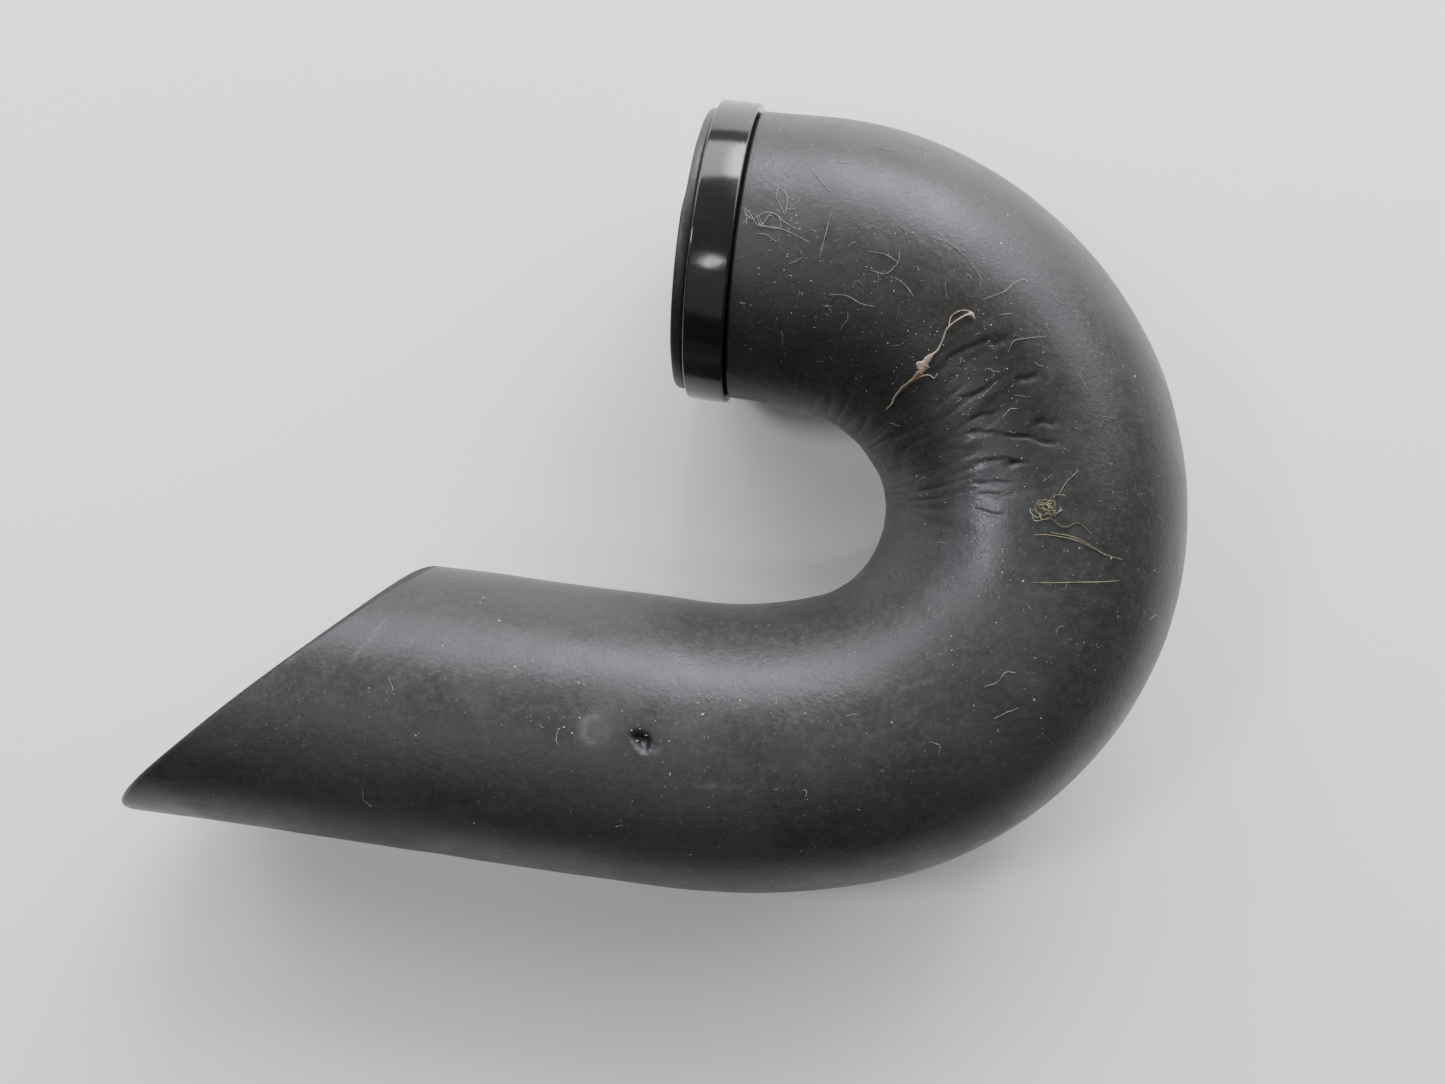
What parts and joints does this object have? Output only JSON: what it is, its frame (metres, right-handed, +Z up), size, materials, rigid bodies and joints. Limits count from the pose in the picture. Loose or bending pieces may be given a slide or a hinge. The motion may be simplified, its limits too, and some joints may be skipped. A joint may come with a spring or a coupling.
{
  "type": "pool cleaner float tube",
  "caption": "J-shaped foam-sleeved tube of a pool cleaner, with a glossy retaining ring and hose socket at one end and a 45 degree mitred mouth at the other.",
  "frame": {"origin": "centre of the footprint, on the surface that the tube lies on", "axes": "+Z up, square to the plane of the J; +X along the longest extent, from the mitred mouth towards the bend; +Y from the mouth leg towards the collar end"},
  "size_m": [0.258, 0.1902, 0.0735],
  "materials": {
    "foam": "charcoal closed-cell foam with a matte skin, dusty, with a soft sheen",
    "pipe_plastic": "black satin moulded plastic",
    "ring_plastic": "glossy black moulded plastic",
    "cuff_plastic": "black satin moulded plastic",
    "seal_rubber": "smooth black rubber"
  },
  "bodies": {
    "root": {"foam_sleeve": "foam", "inner_tube": "pipe_plastic", "retaining_ring": "ring_plastic", "hose_cuff": "cuff_plastic", "cuff_seal": "seal_rubber"}
  },
  "joints": []
}
